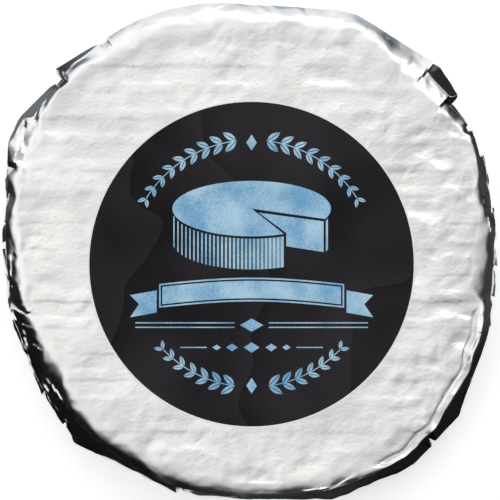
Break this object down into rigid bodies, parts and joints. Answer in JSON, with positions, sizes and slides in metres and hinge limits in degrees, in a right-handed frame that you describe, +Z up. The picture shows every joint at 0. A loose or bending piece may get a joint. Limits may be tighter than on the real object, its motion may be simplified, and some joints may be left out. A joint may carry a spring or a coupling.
{
  "type": "foil-wrapped brie",
  "caption": "Whole wheel of brie in pleated silver foil with a round dark paper label on its face.",
  "frame": {"origin": "on the resting plane, under the middle of the bounding box", "axes": "+Z up, out of the labelled face; +Y towards the top of the label, +X to its right"},
  "size_m": [0.1886, 0.1892, 0.0287],
  "materials": {
    "foil": "thin aluminium foil laminated to paper, satin and softly dented on the face, bright and creased in the pleats of the side",
    "label_paper": "satin coated paper, printed near black with pale blue ornament and a thin white edge"
  },
  "bodies": {
    "root": {"wrapped_wheel": "foil", "label": "label_paper"}
  },
  "joints": []
}
